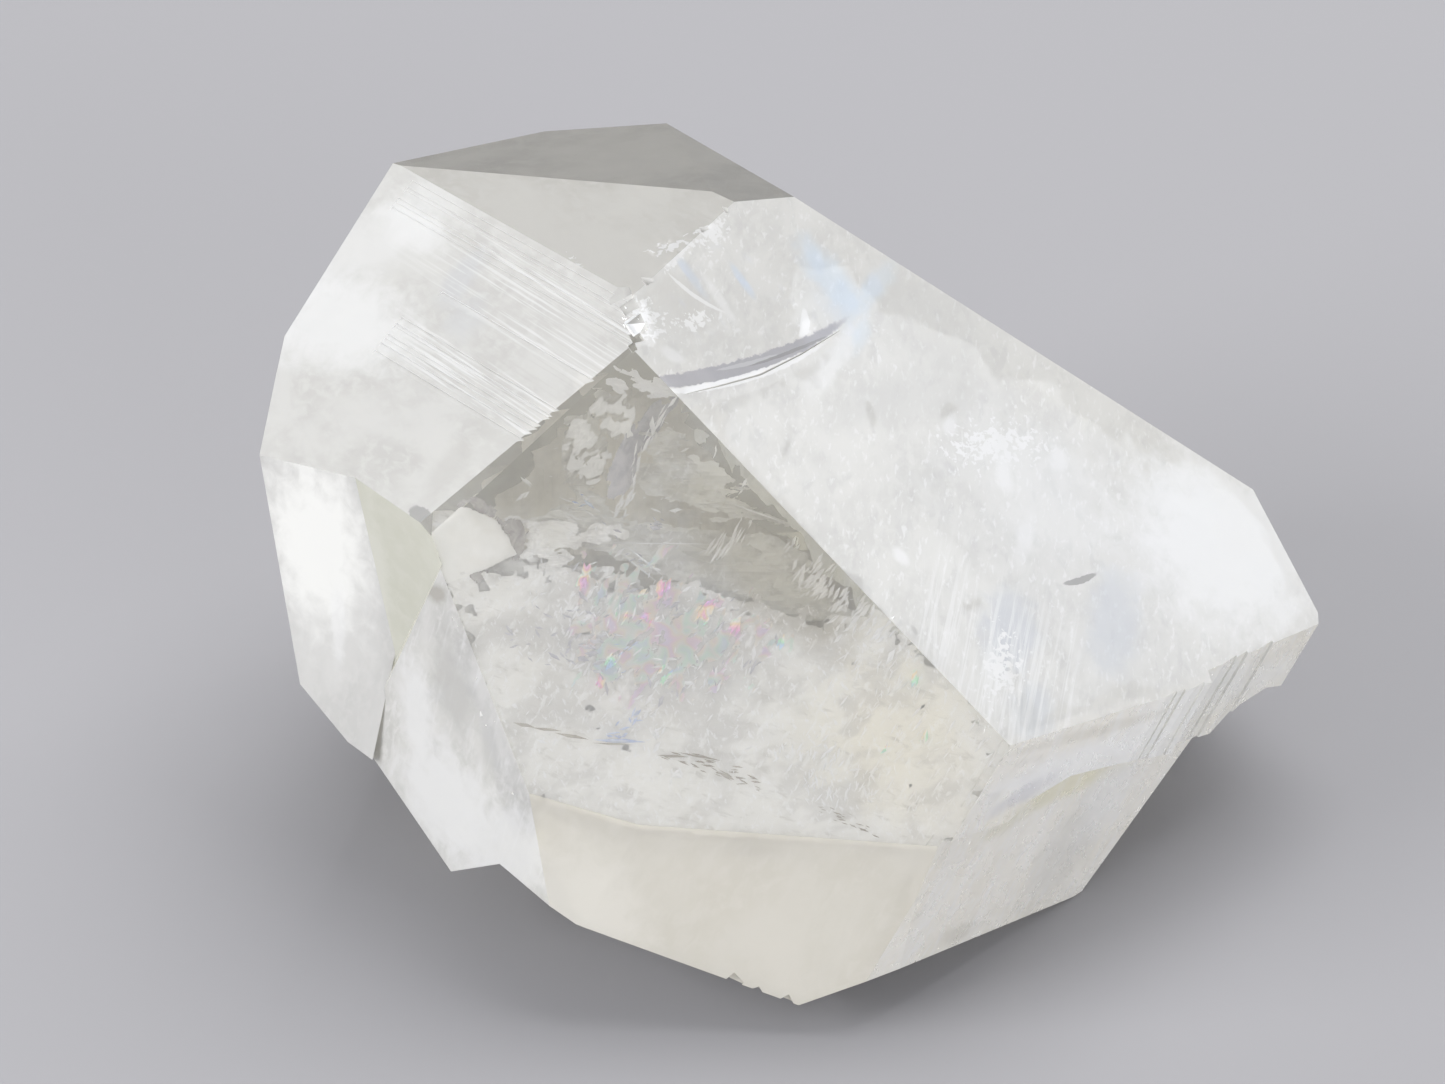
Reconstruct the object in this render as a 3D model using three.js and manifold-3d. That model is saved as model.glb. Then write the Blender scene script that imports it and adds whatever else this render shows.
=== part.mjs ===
// Calcite crystal: one clear to milky single crystal, millimetres, +Z up.
// It lies on a flat cleavage face, with its large clear face turned to the front (-Y)
// and its long milky face turned up and to the right (+X).
// Every flat face is given the way a goniometer reads it: the bearing of its outward normal
// (degrees from +X towards +Y), the normal's elevation above the horizon (degrees) and the
// reach, which is the distance of the face from the survey point along that normal.
// The survey point is the foot of the crystal's own plumb line, on the base plane; at the end
// the crystal is moved so that the origin lies in the middle of its base.
import * as THREE from 'three';
import { mergeVertices } from 'three/addons/utils/BufferGeometryUtils.js';
import Module from 'manifold-3d';

// Faces seen from the front, the top and the right.
const FRONT = { bearing: -91.5, elevation: 36.5, reach: 15.55 };
const STRIATED = { bearing: -146, elevation: 57, reach: 30.4 };
const MILKY = { bearing: -31.5, elevation: 55, reach: 24.4 };
const EDGE_BEVEL = { bearing: -121.5, elevation: 52.3, reach: 26.3 };
const TOP = { bearing: 150, elevation: 85, reach: 38 };
const SHOULDER_LEFT = { bearing: 95, elevation: 76.5, reach: 41.45 };
const SHOULDER_RIGHT = { bearing: 60, elevation: 72, reach: 41.35 };
const FOOT = { bearing: -92.5, elevation: 19, reach: 13.95 };
const FOOT_LEFT = { bearing: -96, elevation: 20.5, reach: 14.4 };
const FLANK = { bearing: -138.5, elevation: 7.5, reach: 16.8 };
const BREAK_WALL = { bearing: -50, elevation: 4, reach: 18.7 };
const BREAK_BEVEL = { bearing: -63.5, elevation: 2, reach: 17.05 };

// The wing, a plate grown against the left flank, and the shallow pocket between the two.
const WING = { bearing: -129, elevation: 12.5, reach: 14.9 };
const WING_END = { bearing: -1.5, elevation: -12, reach: -23.9 };
const POCKET = { bearing: -140.5, elevation: 7, reach: 16.85 };
const POCKET_SILL = { bearing: 180, elevation: 19.5, reach: 24.9 };

// Walls round the back.
const BACK_WALLS = [
  { bearing: 142.5, elevation: -3, reach: 33.35 },
  { bearing: 170.5, elevation: -1, reach: 31.15 },
  { bearing: 165, elevation: -14.5, reach: 24.9 },
  { bearing: 119.5, elevation: 0, reach: 36.35 },
  { bearing: 98, elevation: 0, reach: 36.3 },
  { bearing: 62, elevation: 4, reach: 39 },
  { bearing: 43, elevation: 43.5, reach: 39.2 },
  { bearing: 30.5, elevation: -0.5, reach: 40.4 },
  { bearing: 17, elevation: -41, reach: 24.45 },
];

// Faces that slope in under the crystal down to the base it lies on.
const BASE = { bearing: 0, elevation: -90, reach: 1.6 };
const UNDER_WING = [
  { bearing: -161, elevation: -42, reach: 11.5 },
  { bearing: -137, elevation: -38, reach: 8.1 },
];
const UNDER_FLANK = { bearing: -136, elevation: -60.5, reach: 3 };
const UNDER_FOOT = { bearing: -129, elevation: -56.5, reach: 4.5 };
const UNDER_CORNER = { bearing: -141, elevation: -42, reach: 7.7 };
const UNDER_BREAK = { bearing: -61, elevation: -45.5, reach: 10.45 };
const KNOB_UNDER = { bearing: -175.5, elevation: -50, reach: 9.2 };
const KNOB_END = { bearing: -43, elevation: -53, reach: -8.1 };

// The broken right end. Its upper strip steps back at a slanting cleavage plane, and it
// overhangs the lower break along a ragged line. That line is given as the distance along
// the wall and the height.
const STEP_SLANT = { bearing: 43, elevation: -43, reach: 10.5 };
const WALL_BEYOND_STEP = { bearing: -47.5, elevation: 0, reach: 18.35 };
const LOWER_BREAK = { bearing: -47.5, elevation: -1.5, reach: 17.4 };
const LOWER_END = { bearing: -24, elevation: -27.5, reach: 20.6 };
const OVERHANG = [
  [-20, 12.2],
  [2.4, 11.3],
  [7.6, 10.2],
  [9.4, 10.9],
  [13, 11],
  [17, 9.8],
  [22.7, 7.8],
  [26.6, 6.6],
  [29.4, 7.5],
  [32, 7.5],
  [33.6, 6.8],
  [45, 6],
];

// Growth lines: saw-tooth grooves that run parallel to one edge of a face. The drop is the
// distance of the first groove from that edge; start and end are measured along the edge.
const GROWTH_LINES = [
  { drop: 0.45, count: 6, pitch: 0.46, width: 0.34, depth: 0.05, start: 3, end: 31 },
  { drop: 5.9, count: 1, pitch: 1, width: 0.5, depth: 0.06, start: 3, end: 22.5 },
  { drop: 8.7, count: 7, pitch: 0.44, width: 0.36, depth: 0.07, start: 3, end: 24 },
];
const FLUTES = [
  { drop: 0.5, count: 3, pitch: 1.3, width: 0.9, depth: 0.12, start: -60, end: 60 },
  { drop: -5.6, count: 3, pitch: 1.8, width: 1.2, depth: 0.16, start: -60, end: 60 },
];

// A thin open crack in the milky face: the line it follows on the face, as distance along
// the edge it starts from and distance from that edge, and the way it runs down inside.
const CRACK_LINE = [
  [-23.4, 0.6],
  [-22.3, 3.3],
  [-21.1, 6.5],
  [-20.3, 10.3],
  [-19.7, 14.4],
];
const CRACK_WIDTH = 0.12;
const CRACK_DEPTH = 1.6;
const CRACK_LEAN = 0.45;

// Small chips broken out of the edges along the cleavage: where each lies, and its size.
const CHIP_TURN = [0.62, -0.48, 0.3];
const CHIPS = [
  { at: [-6.6, 11.6, 37.2], size: 1.1 },
  { at: [-5.9, 10.4, 36.9], size: 0.8 },
  { at: [-5.2, 9.3, 36.5], size: 1.2 },
  { at: [-5.3, 8.3, 36.1], size: 0.7 },
  { at: [-5.5, 7.5, 36], size: 0.6 },
  { at: [-4.6, 12.9, 37.5], size: 0.8 },
  { at: [-2.6, 16.2, 37.7], size: 0.7 },
  { at: [-1, 18.7, 37.7], size: 0.9 },
  { at: [0.4, 20.9, 37.7], size: 0.8 },
  { at: [-10.6, 16.3, 37], size: 0.6 },
  { at: [-9.8, 15.4, 37.1], size: 0.5 },
  { at: [0.6, -14.2, 1.7], size: 0.9 },
  { at: [2, -14.4, 1.1], size: 0.7 },
  { at: [3.9, -14.8, 0.5], size: 0.8 },
  { at: [11.4, -12.9, 0.4], size: 1.1 },
  { at: [14.6, -10.9, -0.2], size: 0.9 },
  { at: [17.6, -8.7, -0.6], size: 1.1 },
  { at: [18.3, -8.1, 16.4], size: 0.6 },
  { at: [-18.8, 0.4, 26.6], size: 0.7 },
  { at: [-14.9, -7, 4.5], size: 0.9 },
];

const BLOCK = 200;

const wasm = await Module();
wasm.setup();

function toSolid(geometry) {
  const bare = geometry.clone();
  bare.deleteAttribute('normal');
  bare.deleteAttribute('uv');
  const merged = mergeVertices(bare, 1e-5);
  return new wasm.Manifold(
    new wasm.Mesh({
      numProp: 3,
      vertProperties: merged.attributes.position.array,
      triVerts: new Uint32Array(merged.index.array),
    }),
  );
}

function toGeometry(solid) {
  const mesh = solid.getMesh();
  const geometry = new THREE.BufferGeometry();
  geometry.setAttribute('position', new THREE.BufferAttribute(mesh.vertProperties, 3));
  geometry.setIndex(new THREE.BufferAttribute(mesh.triVerts, 1));
  return geometry;
}

function normalOf(face) {
  const bearing = THREE.MathUtils.degToRad(face.bearing);
  const elevation = THREE.MathUtils.degToRad(face.elevation);
  return new THREE.Vector3(
    Math.cos(elevation) * Math.cos(bearing),
    Math.cos(elevation) * Math.sin(bearing),
    Math.sin(elevation),
  );
}

// Everything that lies beyond a face, as a large block whose inner side is that face.
function beyond(face) {
  const normal = normalOf(face);
  const block = new THREE.BoxGeometry(BLOCK, BLOCK, BLOCK);
  const turn = new THREE.Quaternion().setFromUnitVectors(new THREE.Vector3(0, 0, 1), normal);
  block.applyQuaternion(turn);
  const centre = normal.multiplyScalar(face.reach + BLOCK / 2);
  block.translate(centre.x, centre.y, centre.z);
  return toSolid(block);
}

function trim(solid, faces) {
  return faces.reduce((rest, face) => rest.subtract(beyond(face)), solid);
}

// The blank holds every face that the whole crystal shares.
const blank = trim(toSolid(new THREE.BoxGeometry(BLOCK, BLOCK, BLOCK)), [
  BASE,
  FRONT,
  STRIATED,
  EDGE_BEVEL,
  MILKY,
  TOP,
  SHOULDER_LEFT,
  SHOULDER_RIGHT,
  FOOT,
  FOOT_LEFT,
  BREAK_WALL,
  BREAK_BEVEL,
  UNDER_BREAK,
  ...BACK_WALLS,
]);

// The main body: its underside is cut back except at the knob, and its flank has the pocket.
const body = trim(blank, [FLANK, KNOB_UNDER]);
const lifted = trim(body, [UNDER_FLANK, UNDER_CORNER, UNDER_FOOT]);
const knob = trim(body, [KNOB_END]);
const footed = lifted.add(knob);
const sill = trim(footed, [POCKET_SILL]);
const pocketed = trim(footed, [POCKET]);
const wing = trim(blank, [WING, WING_END, ...UNDER_WING]);
let crystal = sill.add(pocketed).add(wing);

// Beyond the slanting step the wall stands further back.
crystal = crystal.subtract(beyond(STEP_SLANT).intersect(beyond(WALL_BEYOND_STEP)));

// The lower break stands back under the ragged line of the upper strip.
function overhangBlock() {
  const outline = new THREE.Shape(OVERHANG.map(([along, height]) => new THREE.Vector2(along, height)));
  outline.lineTo(OVERHANG.at(-1)[0], -BLOCK);
  outline.lineTo(OVERHANG[0][0], -BLOCK);
  const block = new THREE.ExtrudeGeometry(outline, { depth: BLOCK, bevelEnabled: false });
  block.translate(0, 0, -BLOCK / 2);
  block.rotateX(Math.PI / 2);
  block.rotateZ(THREE.MathUtils.degToRad(STEP_SLANT.bearing));
  return toSolid(block);
}
const brokenAway = beyond(LOWER_BREAK).add(beyond(LOWER_END));
crystal = crystal.subtract(overhangBlock().intersect(brokenAway));

// The frame of a face against a second one: x points away from their common edge within the
// face, y points out of it and z runs along the edge.
function edgeFrame(face, neighbour) {
  const out = normalOf(face);
  const other = normalOf(neighbour);
  const cosine = out.dot(other);
  const along = new THREE.Vector3().crossVectors(out, other).normalize();
  const away = new THREE.Vector3().crossVectors(out, along);
  const share = 1 - cosine * cosine;
  const origin = out
    .clone()
    .multiplyScalar((face.reach - neighbour.reach * cosine) / share)
    .addScaledVector(other, (neighbour.reach - face.reach * cosine) / share);
  return new THREE.Matrix4().makeBasis(away, out, along).setPosition(origin);
}

// One saw-tooth groove: a steep riser at its upper side and a gentle slope on the other.
function groove(frame, drop, line) {
  const lift = line.depth;
  const profile = new THREE.Shape([
    new THREE.Vector2(drop, lift),
    new THREE.Vector2(drop + line.width * 0.08, -line.depth),
    new THREE.Vector2(drop + line.width * 1.9, lift),
  ]);
  const bar = new THREE.ExtrudeGeometry(profile, {
    depth: line.end - line.start,
    bevelEnabled: false,
  });
  bar.translate(0, 0, line.start);
  bar.applyMatrix4(frame);
  return toSolid(bar);
}

function cutGrooves(solid, frame, lines) {
  let cut = solid;
  for (const line of lines) {
    for (let i = 0; i < line.count; i += 1) {
      const drop = line.drop + line.pitch * (i + 0.3 * Math.sin(2.4 * i));
      cut = cut.subtract(groove(frame, drop, line));
    }
  }
  return cut;
}
crystal = cutGrooves(crystal, edgeFrame(STRIATED, TOP), GROWTH_LINES);
crystal = cutGrooves(crystal, edgeFrame(BREAK_WALL, STEP_SLANT), [FLUTES[0]]);
crystal = cutGrooves(crystal, edgeFrame(WALL_BEYOND_STEP, STEP_SLANT), [FLUTES[1]]);

// The crack: a thin crescent on the milky face, drawn down into the crystal at a lean.
function crackSheet() {
  const last = CRACK_LINE.length - 1;
  const upper = CRACK_LINE.map(([along, away], i) => {
    const half = (CRACK_WIDTH / 2) * Math.sin((Math.PI * (i + 0.25)) / (last + 0.5));
    return new THREE.Vector2(away, along + half);
  });
  const lower = CRACK_LINE.map(([along, away], i) => {
    const half = (CRACK_WIDTH / 2) * Math.sin((Math.PI * (i + 0.25)) / (last + 0.5));
    return new THREE.Vector2(away, along - half);
  });
  const outline = new THREE.Shape([...upper, ...lower.reverse()]);
  const sheet = new THREE.ExtrudeGeometry(outline, { depth: CRACK_DEPTH, bevelEnabled: false });
  const lean = new THREE.Matrix4().set(1, 0, 0, 0, 0, 0, -1, 0.1, 0, 1, CRACK_LEAN, 0, 0, 0, 0, 1);
  sheet.applyMatrix4(lean);
  sheet.applyMatrix4(edgeFrame(MILKY, FRONT));
  return toSolid(sheet);
}
crystal = crystal.subtract(crackSheet());

CHIPS.forEach((chip, i) => {
  const rhomb = new THREE.BoxGeometry(chip.size * 1.4, chip.size, chip.size * 0.8);
  const [turnX, turnY, turnZ] = CHIP_TURN;
  rhomb.rotateX(turnX + 0.2 * Math.sin(3 * i));
  rhomb.rotateY(turnY + 0.2 * Math.cos(2 * i));
  rhomb.rotateZ(turnZ);
  rhomb.translate(...chip.at);
  crystal = crystal.subtract(toSolid(rhomb));
});

// The origin goes to the middle of the base.
const geometry = toGeometry(crystal);
geometry.computeBoundingBox();
const { min, max } = geometry.boundingBox;
geometry.translate(-(min.x + max.x) / 2, -(min.y + max.y) / 2, -min.z);

const material = new THREE.MeshStandardMaterial({ color: 0xe6e4dc, roughness: 0.12, metalness: 0 });
const mesh = new THREE.Mesh(geometry, material);
mesh.name = 'calcite_crystal';
const group = new THREE.Group();
group.add(mesh);

export default group;
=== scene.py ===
import math
import random

import bmesh
import bpy
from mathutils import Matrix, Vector
from mathutils import noise as field
from mathutils.bvhtree import BVHTree


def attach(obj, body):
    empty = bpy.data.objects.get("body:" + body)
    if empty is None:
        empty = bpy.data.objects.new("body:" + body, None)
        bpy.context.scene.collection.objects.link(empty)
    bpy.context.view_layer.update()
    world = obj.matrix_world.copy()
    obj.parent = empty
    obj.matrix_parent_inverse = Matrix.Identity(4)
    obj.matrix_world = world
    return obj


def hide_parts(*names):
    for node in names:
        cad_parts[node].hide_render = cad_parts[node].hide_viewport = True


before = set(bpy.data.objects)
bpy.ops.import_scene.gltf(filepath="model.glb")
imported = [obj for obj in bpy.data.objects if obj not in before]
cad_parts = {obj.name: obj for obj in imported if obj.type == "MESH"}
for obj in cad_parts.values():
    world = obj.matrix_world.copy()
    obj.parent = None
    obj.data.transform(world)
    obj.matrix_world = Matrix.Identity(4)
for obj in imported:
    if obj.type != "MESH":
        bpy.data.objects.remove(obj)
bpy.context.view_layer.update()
scene = bpy.context.scene

MM = 0.001
# From the point the faces are surveyed from to the origin of the part, in mm.
SHIFT = Vector((-4.8515, -11.7194, 1.6))

# The crystal's faces: bearing and elevation of the normal in degrees, and reach in mm.
FACES = {
    "front": (-91.5, 36.5, 15.55),
    "bevel": (-121.5, 52.3, 26.3),
    "striated": (-146, 57, 30.4),
    "milky": (-31.5, 55, 24.4),
    "top": (150, 85, 38),
    "shoulder_left": (95, 76.5, 41.45),
    "shoulder_right": (60, 72, 41.35),
    "foot": (-92.5, 19, 13.95),
    "foot_left": (-96, 20.5, 14.4),
    "flank": (-138.5, 7.5, 16.8),
    "wing": (-129, 12.5, 14.9),
    "pocket": (-140.5, 7, 16.85),
    "sill": (180, 19.5, 24.9),
    "break_upper": (-50, 4, 18.7),
    "break_beyond": (-47.5, 0, 18.35),
    "break_bevel": (-63.5, 2, 17.05),
    "break_lower": (-47.5, -1.5, 17.4),
    "break_end": (-24, -27.5, 20.6),
}


def face_axes(name):
    """A face's outward normal, its directions to the right and up, and its reach."""
    bearing, elevation, reach = FACES[name]
    b, e = math.radians(bearing), math.radians(elevation)
    out = Vector((math.cos(e) * math.cos(b), math.cos(e) * math.sin(b), math.sin(e)))
    right = Vector((0, 0, 1)).cross(out).normalized()
    return out, right, out.cross(right), reach


def spot(name, u, v, depth=0):
    """A point in metres: u mm to the right and v mm up within a face, depth mm under it."""
    out, right, up, reach = face_axes(name)
    return (out * (reach - depth) + right * u + up * v + SHIFT) * MM


# ---- Materials ----


class Paint:
    """One material's nodes. Patterns are in mm, over one face or through the whole solid."""

    def __init__(self, name, face=None):
        self.material = bpy.data.materials.new(name)
        self.material.use_nodes = True
        self.tree = self.material.node_tree
        self.tree.nodes.clear()
        place = self.node("ShaderNodeTexCoord").outputs["Object"]
        self.where = self.vector("SCALE", {0: place, "Scale": 1 / MM})
        if face:
            out, right, up, reach = face_axes(face)
            local = self.vector("SUBTRACT", {0: self.where, 1: SHIFT})
            flat = {
                "X": self.vector("DOT_PRODUCT", {0: local, 1: right}, "Value"),
                "Y": self.vector("DOT_PRODUCT", {0: local, 1: up}, "Value"),
            }
            self.where = self.node("ShaderNodeCombineXYZ", flat).outputs[0]

    def node(self, kind, inputs=None, **settings):
        """A new node, with its settings made and its inputs linked or set."""
        node = self.tree.nodes.new(kind)
        for key, value in settings.items():
            setattr(node, key, value)
        for socket, value in (inputs or {}).items():
            if isinstance(value, bpy.types.NodeSocket):
                self.tree.links.new(value, node.inputs[socket])
            else:
                node.inputs[socket].default_value = value
        return node

    def vector(self, operation, inputs, result="Vector"):
        return self.node("ShaderNodeVectorMath", inputs, operation=operation).outputs[result]

    def sums(self, a, b, operation="MULTIPLY"):
        """Two values multiplied, or put through another operation."""
        return self.node("ShaderNodeMath", {0: a, 1: b}, operation=operation).outputs[0]

    def ramp(self, value, low, high, start=0, end=1):
        """A smooth step from start at low to end at high."""
        values = {"Value": value, "From Min": low, "From Max": high, "To Min": start, "To Max": end}
        return self.node("ShaderNodeMapRange", values, interpolation_type="SMOOTHSTEP").outputs[0]

    def box(self, centre, turn, size=(1, 1)):
        """Coordinates from a centre, along and across a direction, in units of a size."""
        values = {
            "Vector": self.where,
            "Location": (*centre, 0),
            "Rotation": (0, 0, math.radians(turn)),
            "Scale": (*size, size[1]),
        }
        return self.node("ShaderNodeMapping", values, vector_type="TEXTURE").outputs[0]

    def distance(self, centre, radii, turn):
        """Distance from a centre, in units of the radii."""
        return self.vector("LENGTH", {0: self.box(centre, turn, radii)}, "Value")

    def fractal(self, place, detail, roughness, distortion=0):
        values = {
            "Vector": place,
            "Scale": 1,
            "Detail": detail,
            "Roughness": roughness,
            "Distortion": distortion,
        }
        return self.node("ShaderNodeTexNoise", values).outputs["Fac"]

    def noise(self, grain, turn=0, stretch=1, detail=5, seed=0):
        """Noise in grains of that many mm, stretched along a direction. The seed moves it."""
        place = self.box((17.3 * seed, 5.1 * seed), turn, (grain * stretch, grain))
        return self.fractal(place, detail, 0.58, 0.4)

    def clouds(self, grain, low=0.36, high=0.64, **more):
        """Soft patches: the noise taken from 0 at low to 1 at high."""
        return self.ramp(self.noise(grain, **more), low, high)

    def zone(self, centre, radii, turn):
        """A soft-edged patch, 1 in its middle, whose edge wanders with a noise."""
        far = self.distance(centre, radii, turn)
        sway = self.sums(self.noise(1.5, seed=1), 1.2)
        rim, core = 1.95, 1.05
        return self.ramp(self.sums(far, sway, "ADD"), rim, core)

    def zoned(self, colour, zones):
        """Patches over a colour: (tone, centre, radii, turn, strength) each."""
        for tone, centre, radii, turn, strength in zones:
            colour = self.mix(self.sums(self.zone(centre, radii, turn), strength), colour, tone)
        return colour

    def crumbs(self, centre, radii, turn):
        """A patch broken into small bits, fewer towards its rim."""
        far = self.distance(centre, radii, turn)
        grit = self.sums(self.noise(0.5, detail=3, seed=5), 4)
        rim, core = 2.5, 2.3
        return self.ramp(self.sums(far, grit, "ADD"), rim, core)

    def arc(self, centre, turn, length, width, bend):
        """A bent band that narrows to a point at both ends. Length and width are half its own."""
        lie = self.node("ShaderNodeSeparateXYZ", {0: self.box(centre, turn)}).outputs
        share = self.sums(lie[0], length, "DIVIDE")
        square = self.sums(share, share)
        off = self.sums(self.sums(lie[1], self.sums(square, bend), "SUBTRACT"), width, "DIVIDE")
        sway = self.sums(self.noise(0.5, seed=7), 0.5, "SUBTRACT")
        off = self.sums(off, sway, "ADD")
        rim, core = 1.2, 0.75
        return self.ramp(self.sums(self.sums(off, off), square, "ADD"), rim, core)

    def streaked(self, colour, grains):
        """Fine streaks over a colour: (tone, turn, grain, stretch, low, high, strength) each."""
        for i, (tone, turn, grain, stretch, low, high, strength) in enumerate(grains):
            mask = self.clouds(grain, low, high, turn=turn, stretch=stretch, detail=3, seed=i + 4)
            colour = self.mix(self.sums(mask, strength), colour, tone)
        return colour

    def lines(self, turn, band, fade, pitch, seed):
        """Fine lines along a direction that fill a band across it and fade along it."""
        length = 40 * pitch
        lie = self.node("ShaderNodeSeparateXYZ", {0: self.box((0, 0), turn)}).outputs
        fine = self.fractal(self.box((0, 31.7 * seed), turn, (length, pitch)), 3, 0.7)
        mark = self.ramp(fine, 0.5, 0.62)
        edge = 0.25
        lower = self.ramp(lie[1], band[0] - edge, band[0] + edge)
        upper = self.ramp(lie[1], band[1] + edge, band[1] - edge)
        along = self.ramp(lie[0], fade[0], fade[1])
        return self.sums(self.sums(mark, along), self.sums(lower, upper))

    def mix(self, factor, a, b):
        """A colour that is a where the factor is 0 and b where it is 1."""
        values = {"Factor": factor, "A": a, "B": b}
        node = self.tree.nodes.new("ShaderNodeMix")
        node.data_type = "RGBA"
        for key, value in values.items():
            socket = next(s for s in node.inputs if s.name == key and s.enabled)
            if isinstance(value, bpy.types.NodeSocket):
                self.tree.links.new(value, socket)
            else:
                socket.default_value = value
        return next(s for s in node.outputs if s.enabled)

    def finish(self, colour, roughness, ior, clear, absorb=None):
        """Closes the material. Clear is its transmission, absorb the tint and density inside."""
        values = {
            "Base Color": colour,
            "Roughness": roughness,
            "IOR": ior,
            "Transmission Weight": clear,
        }
        skin = self.node("ShaderNodeBsdfPrincipled", values)
        out = self.node("ShaderNodeOutputMaterial", {"Surface": skin.outputs[0]})
        if absorb:
            tint, density = absorb
            inner = self.node("ShaderNodeVolumeAbsorption", {"Color": tint, "Density": density})
            self.tree.links.new(inner.outputs[0], out.inputs["Volume"])
        return self.material


def grey(value, warm=0):
    """A grey, yellowish where warm is above 0."""
    return (value, value * (1 - 0.3 * warm), value * (1 - warm), 1)


SNOW = (0.985, 0.99, 1, 1)
CALCITE_IOR = 1.57
CALCITE_TINT = ((0.88, 0.87, 0.8, 1), 5)
FINISHES = {}


def calcite(
    name, face, dark, light, clear, gloss=(0.08, 0.25), grain=6, turn=0, stretch=1,
    streaks=(), zones=(), lines=(), arcs=(), crumbs=(),
):
    """Files the finish of one kind of face in FINISHES.

    Dark and light are the tones of its haze, whose patches are grain mm across and stretch times as
    long along turn, in degrees. Clear is its transmission and gloss the range of its roughness.
    Each streak is (tone, turn, grain, stretch, low, high, strength), each zone (tone, centre, radii,
    turn, strength), each band of lines (tone, turn, band, fade, pitch, strength), each arc (tone,
    centre, turn, length, width, bend, strength) and each patch of crumbs (centre, radii, turn).
    """
    paint = Paint("calcite_" + name, face)
    colour = paint.mix(paint.clouds(grain, turn=turn, stretch=stretch), dark, light)
    wisps = paint.clouds(grain * 0.17, 0.42, 0.7, turn=turn, stretch=1.5, seed=2)
    colour = paint.mix(wisps, colour, light)
    colour = paint.zoned(paint.streaked(colour, streaks), zones)
    for i, (tone, way, band, fade, pitch, strength) in enumerate(lines):
        mask = paint.sums(paint.lines(way, band, fade, pitch, seed=i + 1), strength)
        colour = paint.mix(mask, colour, tone)
    for tone, centre, way, length, width, bend, strength in arcs:
        mask = paint.sums(paint.arc(centre, way, length, width, bend), strength)
        colour = paint.mix(mask, colour, tone)
    for centre, radii, way in crumbs:
        colour = paint.mix(paint.crumbs(centre, radii, way), colour, SNOW)
    rough = paint.ramp(paint.noise(1.2, detail=3, seed=3), 0.3, 0.7, *gloss)
    FINISHES[name] = paint.finish(colour, rough, CALCITE_IOR, clear, CALCITE_TINT)


# ---- The crystal: the solid's own surface, finished face by face ----

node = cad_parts["calcite_crystal"]
mesh = node.data.copy()
mesh.name = "crystal"
crystal = bpy.data.objects.new("crystal", mesh)
scene.collection.objects.link(crystal)
crystal.matrix_world = node.matrix_world.copy()
mesh.materials.clear()

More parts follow.
